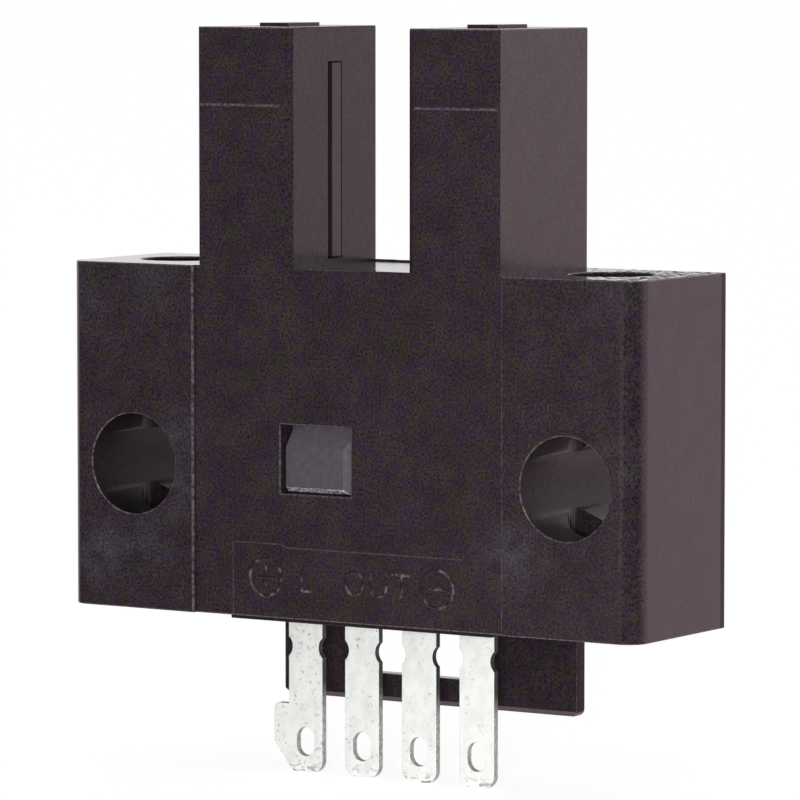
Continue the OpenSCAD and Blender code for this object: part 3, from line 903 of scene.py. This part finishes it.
# Darker copies of the black plastic: painted shade in the bores and the opening, stronger in the left
# bores and on the skirt
shaded_cored = black_moulding("shaded_cored_wall", 0.26, 0.36, gloss=0.15, painted_shade=0.9)
deep_shaded_cored = black_moulding("deep_shaded_cored_wall", 0.3, 0.4, gloss=0.1, painted_shade=0.5)
case_seams = [("x", place) for place in (-screw_x, screw_x, guide_x)]
case_seams += [("y", place) for place in (mid_depth, -SHADOW_STRIP_DEPTH)]
case = bench_copy("case", "moulded_case", case_seams)
case.data.materials.append(black)
case.data.materials.append(edge_highlight)
count = round_edges(case, outer_edge, EDGE_WIDTH, edge_slot=1)
CASE_FINISHES = (
    (shaded_cored, on_cored_wall),
    (shaded_cored, on_painted_shadow_strip),
    (deep_shaded_cored, on_left_bore),
    (deep_shaded_cored, on_skirt_side),
    (black_moulding("shaded_skirt", 0.26, 0.36, gloss=0.2, painted_shade=0.78), on_skirt_front),
    (black_moulding("slot_wall", 0.17, 0.25, gloss=0.35), on_slot_wall),
    (pitted_top(), on_flat_top),
    (edge_highlight, on_highlight_detail),
)
for finish, wanted in CASE_FINISHES:
    print(finish.name, "on", paint_faces(case, finish, wanted), "faces")
hand_over(case, "case_plastic", "case")
print("case edges rounded:", count, "faces:", len(case.data.polygons))

# %% [markdown]
# ## Base and windows
# These are small mouldings of their own. They get the same treatment with a finer radius, because a
# bevel that is wider than the gap beside it would make the gap look twice as large.

# %% Small mouldings
def every_edge(middle):
    """Anywhere: a small piece is rounded all over."""
    return True


SMALL_MOULDINGS = (
    ("terminal_base", "rounded_base", 0.04, base_moulding, "base_plastic"),
    ("emitter_window", "emitter_window_rib", 0.02, window_plastic, "window_plastic"),
    ("receiver_window", "receiver_window_rib", 0.02, window_plastic, "window_plastic"),
)
for node_name, piece_name, width, finish, slot in SMALL_MOULDINGS:
    piece = bench_copy(node_name, piece_name)
    count = round_edges(piece, every_edge, width)
    piece.data.materials.append(finish())
    hand_over(piece, slot, node_name)
    print(piece_name, "edges rounded:", count)

# %% [markdown]
# ## The prism of the light guide
# The prism sits in the front opening of the case. Its slanted faces are in the solid already, so only its
# edges are rounded, and the slanted faces are told apart by their normals to get their own finish.

# %% Light guide
PRISM_ROUND = 0.03


def on_foot_bevel(middle, normal):
    """On the slanted lower edge of the prism's front."""
    return middle.y < body_front + FRONT_WALL and between(normal.z, -0.99, -0.3) and normal.y < -0.1


def on_side_bevel(middle, normal):
    """On the slanted right side of the prism's front."""
    return middle.y < body_front + FRONT_WALL and between(normal.x, 0.4, 0.9) and normal.y < -0.4


prism = bench_copy("indicator_light_guide", "smoked_prism", [("x", guide_x)])
count = round_edges(prism, every_edge, PRISM_ROUND)
prism.data.materials.append(smoked_plastic("smoked_plastic", SMOKE_DARK, SMOKE_LIGHT))
# The slanted side is painted paler: painted light.
paint_faces(prism, smoked_plastic("lit_bevel", LIT_BEVEL_DARK, LIT_BEVEL_LIGHT), on_side_bevel)
# The foot gets a painted highlight.
highlighted = paint_faces(prism, foot_highlight(), on_foot_bevel)
hand_over(prism, "smoked_plastic", "indicator_light_guide")
print("prism edges rounded:", count, "frosted faces:", highlighted)

# %% [markdown]
# ## Terminals
# A terminal is punched from tinned strip. The punch rolls the edge over on one side and leaves a burr
# on the other, so its outline is rounded by a few hundredths of a millimetre, and the cut itself shows
# bare metal.

# %% Punched terminals
TERMINALS = ("terminal_plus", "terminal_l", "terminal_out", "terminal_minus")
PUNCH_ROUND = 0.03

plain_low, plain_high = box_mm("terminal_l")
terminal_half = (plain_high.x - plain_low.x) / 2


def on_cut_edge(middle, normal):
    """On the cut outline or in the eyelet, where the plating is missing."""
    return abs(normal.y) < 0.5


tin = dull_tin()
bare_metal = sheared_edge()
for node_name in TERMINALS:
    centre = box_mm(node_name)[1].x - terminal_half
    piece = bench_copy(node_name, node_name.replace("terminal_", "punched_terminal_"), [("x", centre)])
    count = round_edges(piece, every_edge, PUNCH_ROUND)
    piece.data.materials.append(tin)
    paint_faces(piece, bare_metal, on_cut_edge)
    hand_over(piece, "tinned_metal", node_name)
    print(piece.name, "edges rounded:", count)

# %% [markdown]
# ## Raised signs
# Above the terminals the mould has an insert with four signs: a plus in a ring, L, OUT and a minus in a
# ring. An engraver cuts such signs with a ball-nosed tool, so on the plastic each stroke is a low, round
# bead. The strokes are drawn by pulling a point along, turned into a curve that gives them a round
# section, and made a mesh again. Half of each bead lies in the wall, so that it grows out of it.

# %% Drawing strokes
BEAD_RADIUS = 0.055
BEAD_FLATTEN = 0.5
RING_POINTS = 40


def start_point(x, y, z):
    """A new mesh with one selected point."""
    bpy.ops.mesh.primitive_plane_add(size=1, location=(x, y, z), rotation=(math.pi / 2, 0, 0))
    bpy.ops.object.transform_apply(location=True, rotation=True, scale=True)
    bpy.ops.object.mode_set(mode="EDIT")
    bpy.ops.mesh.select_mode(type="VERT")
    bpy.ops.mesh.select_all(action="SELECT")
    bpy.ops.mesh.merge(type="CENTER")


def stroke(points, depth=body_front):
    """An open line through the points (x, z) at one depth, pulled out point by point."""
    bpy.ops.object.select_all(action="DESELECT")
    start_point(points[0][0], depth, points[0][1])
    for (x0, z0), (x1, z1) in zip(points, points[1:]):
        bpy.ops.mesh.extrude_vertices_move(TRANSFORM_OT_translate={"value": (x1 - x0, 0, z1 - z0)})
    bpy.ops.object.mode_set(mode="OBJECT")
    return bpy.context.object


def arc(x, z, radius_x, radius_z, start, end, points):
    """Points along an arc, angles in degrees from the right, anticlockwise."""
    steps = [math.radians(start + (end - start) * i / points) for i in range(points + 1)]
    return [(x + radius_x * math.cos(a), z + radius_z * math.sin(a)) for a in steps]


def ring(x, z, radius_x, radius_z):
    """A closed ring, drawn as a flat circle that is turned to face forwards."""
    bpy.ops.object.select_all(action="DESELECT")
    bpy.ops.mesh.primitive_circle_add(
        vertices=RING_POINTS, radius=1, fill_type="NOTHING",
        location=(x, body_front, z), rotation=(math.pi / 2, 0, 0),
    )
    circle = bpy.context.object
    circle.scale = (radius_x, radius_z, 1)
    bpy.ops.object.transform_apply(location=True, rotation=True, scale=True)
    return circle


def bead(name, lines, radius, material, flatten=BEAD_FLATTEN):
    """Joins lines into one piece, gives them a round section and flattens it against the wall."""
    bpy.ops.object.select_all(action="DESELECT")
    for line in lines:
        line.select_set(True)
    bpy.context.view_layer.objects.active = lines[0]
    if len(lines) > 1:
        bpy.ops.object.join()
    piece = bpy.context.object
    piece.name = name
    bpy.ops.object.convert(target="CURVE")
    curve = bpy.context.object.data
    curve.bevel_depth = radius
    curve.bevel_resolution = 3
    curve.use_fill_caps = True
    bpy.ops.object.convert(target="MESH")
    piece = bpy.context.object
    piece.data.name = name
    bpy.ops.object.mode_set(mode="EDIT")
    bpy.ops.mesh.select_all(action="SELECT")
    bpy.ops.transform.resize(value=(1, flatten, 1), center_override=(0, body_front, 0))
    bpy.ops.mesh.normals_make_consistent(inside=False)
    bpy.ops.object.mode_set(mode="OBJECT")
    piece.data.materials.append(material)
    hand_over(piece, "case_plastic")
    return piece


# The signs' pale patches are painted glints.
sign_finish = glint_sign()
print("bead radius mm:", BEAD_RADIUS)

# %% The four signs
SIGN_LINE = underside + 1.51
RING_RADIUS = 0.70
SIGN_HALF = 0.43
PLUS_X, L_X, O_X, U_X, T_X, MINUS_X = -3.60, -1.79, 0.33, 1.39, 2.40, 3.96
ARM = 0.42
L_BACK, L_FOOT = 0.2, 0.28
O_HALF, U_HALF, T_HALF = 0.38, 0.34, 0.4
U_POINTS = 14

low, high = SIGN_LINE - SIGN_HALF, SIGN_LINE + SIGN_HALF
bead("sign_plus", [
    ring(PLUS_X, SIGN_LINE, RING_RADIUS, RING_RADIUS),
    stroke([(PLUS_X - ARM, SIGN_LINE), (PLUS_X + ARM, SIGN_LINE)]),
    stroke([(PLUS_X, SIGN_LINE - ARM), (PLUS_X, SIGN_LINE + ARM)]),
], BEAD_RADIUS, sign_finish)
bead("sign_l", [
    stroke([(L_X - L_BACK, high), (L_X - L_BACK, low), (L_X + L_FOOT, low)]),
], BEAD_RADIUS, sign_finish)
u_bowl = arc(U_X, low + U_HALF, U_HALF, U_HALF, 180, 360, U_POINTS)
bead("sign_out", [
    ring(O_X, SIGN_LINE, O_HALF, SIGN_HALF),
    stroke([(U_X - U_HALF, high), *u_bowl, (U_X + U_HALF, high)]),
    stroke([(T_X - T_HALF, high), (T_X + T_HALF, high)]),
    stroke([(T_X, high), (T_X, low)]),
], BEAD_RADIUS, sign_finish)
bead("sign_minus", [
    ring(MINUS_X, SIGN_LINE, RING_RADIUS, RING_RADIUS),
    stroke([(MINUS_X - ARM, SIGN_LINE), (MINUS_X + ARM, SIGN_LINE)]),
], BEAD_RADIUS, sign_finish)

# %% [markdown]
# ## The witness line of the mould insert
# Where the insert with the signs sits in the mould, a thin line is left on the plastic. Its upper edge
# has a small step, where the insert is keyed into the mould.

# %% Insert outline
INSERT_HALF = 5.07
INSERT_TOP = underside + 2.78
INSERT_STEP = 0.11
KEY_LEFT, KEY_RIGHT = -2.94, -2.63
WITNESS_RADIUS = 0.03

insert_outline = [
    (-INSERT_HALF, underside + EDGE_WIDTH),
    (-INSERT_HALF, INSERT_TOP),
    (KEY_LEFT, INSERT_TOP),
    (KEY_RIGHT, INSERT_TOP - INSERT_STEP),
    (INSERT_HALF, INSERT_TOP - INSERT_STEP),
]
# The witness line is painted pale, as a painted highlight.
line_finish = highlight_plastic("highlight_line", LINE_HIGHLIGHT)
witness = bead("insert_witness_line", [stroke(insert_outline)], WITNESS_RADIUS, line_finish)
print("witness line faces:", len(witness.data.polygons))

# %% [markdown]
# ## The flash line in the slot
# Where the two halves of the mould met across the floor of the sensing slot, a thin ridge of plastic was
# squeezed out. From the front it is a dark line along the far end of the floor, and its finish is the
# cored one, darkened with painted shade. It is drawn like the signs, but a little unevenly, and it keeps
# its round section, half sunk in the floor.

# %% Slot flash
FLASH_RADIUS = 0.075
FLASH_DEPTH = 0.45
FLASH_ROOT = 0.05
FLASH_STEPS = 26
FLASH_RIPPLE = 0.008

flash_half = SLOT_HALF + FLASH_ROOT
flash_line = []
for step in range(FLASH_STEPS + 1):
    x = flash_half * (2 * step / FLASH_STEPS - 1)
    flash_line.append((x, ear_top + FLASH_RIPPLE * math.sin(3 * x) * math.cos(7 * x)))
flash = bead("slot_flash_line", [stroke(flash_line, -FLASH_DEPTH)], FLASH_RADIUS, shaded_cored, flatten=1.0)
print("flash line mm:", 2 * flash_half, "faces:", len(flash.data.polygons))

# %% [markdown]
# ## Inside the case
# The board, the emitter, the detector and the small parts are closed in, but they are part of the
# switch, so they keep their solids and get finishes that fit what they are made of. Each is a speckle
# of two near tones, which is what resin, ceramic and plated leads look like up close.

# %% Finishes of the inner parts
def board_laminate():
    """Green lacquer over woven glass: two crossed wave patterns give the weave."""
    material, tree, shader, place = new_finish("board_laminate", 0.35)
    threads = []
    for axis in ("X", "Z"):
        wave = add_node(tree, "ShaderNodeTexWave", Scale=1.2, Distortion=0.6)
        wave.bands_direction = axis
        tree.links.new(place, wave.inputs["Vector"])
        threads.append(wave.outputs["Fac"])
    weave = math_node(tree, "MULTIPLY", *threads)
    lacquer = tint(tree, weave, (0.010, 0.075, 0.022), (0.022, 0.135, 0.045))
    tree.links.new(lacquer, shader.inputs["Base Color"])
    tree.links.new(relief(tree, weave, 0.004), shader.inputs["Normal"])
    return material


lead_metal = plain_finish("lead_metal", (0.55, 0.55, 0.53), (0.72, 0.72, 0.69), 0.2, 0.35, metallic=1.0)
chip_body = plain_finish("chip_body", (0.014, 0.014, 0.016), (0.03, 0.03, 0.033), 0.12, 0.5)
ceramic = plain_finish("ceramic", (0.33, 0.24, 0.16), (0.45, 0.34, 0.23), 0.15, 0.55)
emitter_resin = plain_finish("emitter_resin", (0.12, 0.19, 0.33), (0.2, 0.28, 0.42), 0.5, 0.12)
detector_resin = plain_finish("detector_resin", (0.018, 0.012, 0.018), (0.03, 0.02, 0.03), 0.5, 0.15)
indicator_resin = plain_finish("indicator_resin", (0.62, 0.42, 0.09), (0.78, 0.56, 0.16), 0.3, 0.3)
INNER_FINISHES = {
    "circuit_board": board_laminate(),
    "emitter_led": emitter_resin,
    "emitter_leads": lead_metal,
    "photo_ic": detector_resin,
    "photo_ic_leads": lead_metal,
    "indicator_led": indicator_resin,
    "output_transistor": chip_body,
    "chip_resistors": chip_body,
    "bypass_capacitor": ceramic,
    "protection_diode": chip_body,
}
for node_name, material in INNER_FINISHES.items():
    nodes[node_name].data.materials.clear()
    nodes[node_name].data.materials.append(material)
print("inner parts finished:", len(INNER_FINISHES))
